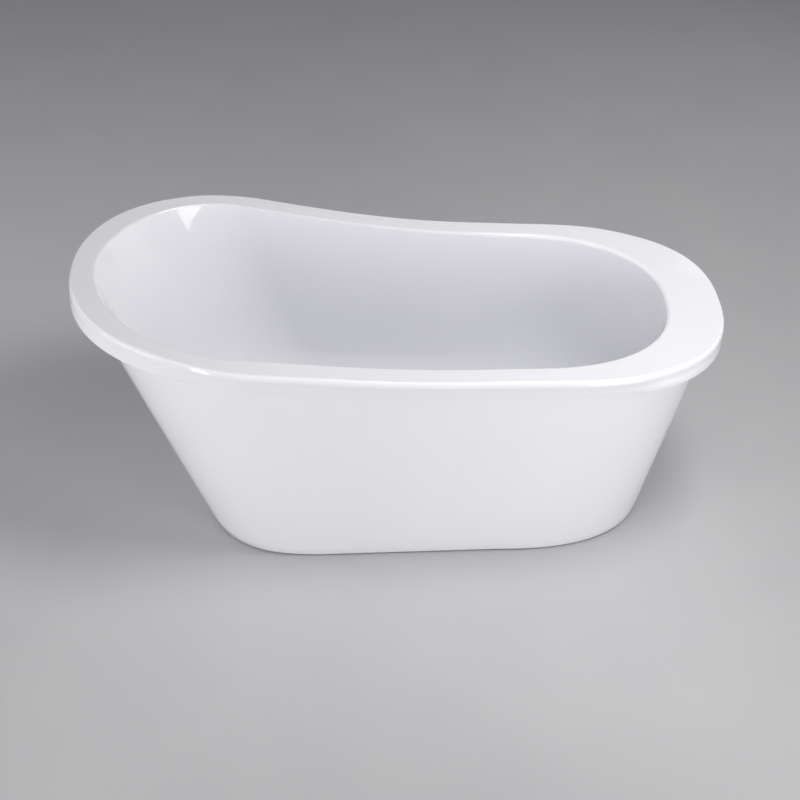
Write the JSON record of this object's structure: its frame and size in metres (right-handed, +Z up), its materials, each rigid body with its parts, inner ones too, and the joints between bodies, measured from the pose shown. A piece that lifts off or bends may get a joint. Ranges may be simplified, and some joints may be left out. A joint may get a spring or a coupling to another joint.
{
  "type": "freestanding bathtub",
  "caption": "Freestanding slipper bathtub: double-walled acrylic shell, raised head end, level tap deck, screw-foot frame, pop-up waste and piped overflow.",
  "frame": {"origin": "on the floor, under the middle of the length and width", "axes": "+X towards the foot (tap) end, -X towards the raised head end, +Y across, +Z up"},
  "size_m": [1.7, 0.788, 0.7],
  "materials": {
    "acrylic": "high gloss white",
    "adhesive": "cured adhesive",
    "plywood": "raw, resin sealed",
    "steel": "galvanised",
    "zinc": "zinc plated",
    "chrome": "polished",
    "black_plastic": "satin",
    "white_plastic": "satin",
    "rubber": "matt"
  },
  "bodies": {
    "tub": {"baseboard": "plywood", "basin_shell": "acrylic", "crossbar_foot": "steel", "crossbar_head": "steel", "crossbar_middle": "steel", "foot_lock_nut_foot_left": "zinc", "foot_lock_nut_foot_right": "zinc", "foot_lock_nut_head_left": "zinc", "foot_lock_nut_head_right": "zinc", "foot_lock_nut_middle": "zinc", "foot_top_nut_foot_left": "zinc", "foot_top_nut_foot_right": "zinc", "foot_top_nut_head_left": "zinc", "foot_top_nut_head_right": "zinc", "foot_top_nut_middle": "zinc", "frame_rail_left": "steel", "frame_rail_right": "steel", "overflow_body": "black_plastic", "overflow_cover": "chrome", "overflow_front_gasket": "rubber", "overflow_front_ring": "white_plastic", "overflow_pipe": "white_plastic", "overflow_rear_gasket": "rubber", "overflow_slip_nut": "black_plastic", "rim_bond_bead": "adhesive", "skirt_batten_foot_left": "plywood", "skirt_batten_foot_right": "plywood", "skirt_batten_head_left": "plywood", "skirt_batten_head_right": "plywood", "skirt_bracket_foot_left": "zinc", "skirt_bracket_foot_right": "zinc", "skirt_bracket_head_left": "zinc", "skirt_bracket_head_right": "zinc", "skirt_shell": "acrylic", "tap_deck_board": "plywood", "waste_backnut": "black_plastic", "waste_body": "black_plastic", "waste_cartridge": "chrome", "waste_flange_tail": "chrome", "waste_lower_gasket": "rubber", "waste_slip_nut": "black_plastic", "waste_upper_gasket": "rubber"},
    "plug": {"plug_cap": "chrome", "plug_stem": "chrome", "plug_seal": "rubber"},
    "foot_head_left": {"foot_pad_head_left": "rubber", "foot_rod_head_left": "zinc"},
    "foot_head_right": {"foot_pad_head_right": "rubber", "foot_rod_head_right": "zinc"},
    "foot_foot_left": {"foot_pad_foot_left": "rubber", "foot_rod_foot_left": "zinc"},
    "foot_foot_right": {"foot_pad_foot_right": "rubber", "foot_rod_foot_right": "zinc"},
    "foot_middle": {"foot_pad_middle": "rubber", "foot_rod_middle": "zinc"}
  },
  "joints": [
    {"name": "plug_lift", "type": "slide", "parent": "tub", "child": "plug", "axis": [0, 0, 1], "range_m": [0, 0.01]},
    {"name": "foot_head_left_screw", "type": "slide", "parent": "tub", "child": "foot_head_left", "axis": [0, 0, 1], "range_m": [-0.015, 0.003]},
    {"name": "foot_head_right_screw", "type": "slide", "parent": "tub", "child": "foot_head_right", "axis": [0, 0, 1], "range_m": [-0.015, 0.003]},
    {"name": "foot_foot_left_screw", "type": "slide", "parent": "tub", "child": "foot_foot_left", "axis": [0, 0, 1], "range_m": [-0.015, 0.003]},
    {"name": "foot_foot_right_screw", "type": "slide", "parent": "tub", "child": "foot_foot_right", "axis": [0, 0, 1], "range_m": [-0.015, 0.003]},
    {"name": "foot_middle_screw", "type": "slide", "parent": "tub", "child": "foot_middle", "axis": [0, 0, 1], "range_m": [-0.015, 0.003]}
  ]
}
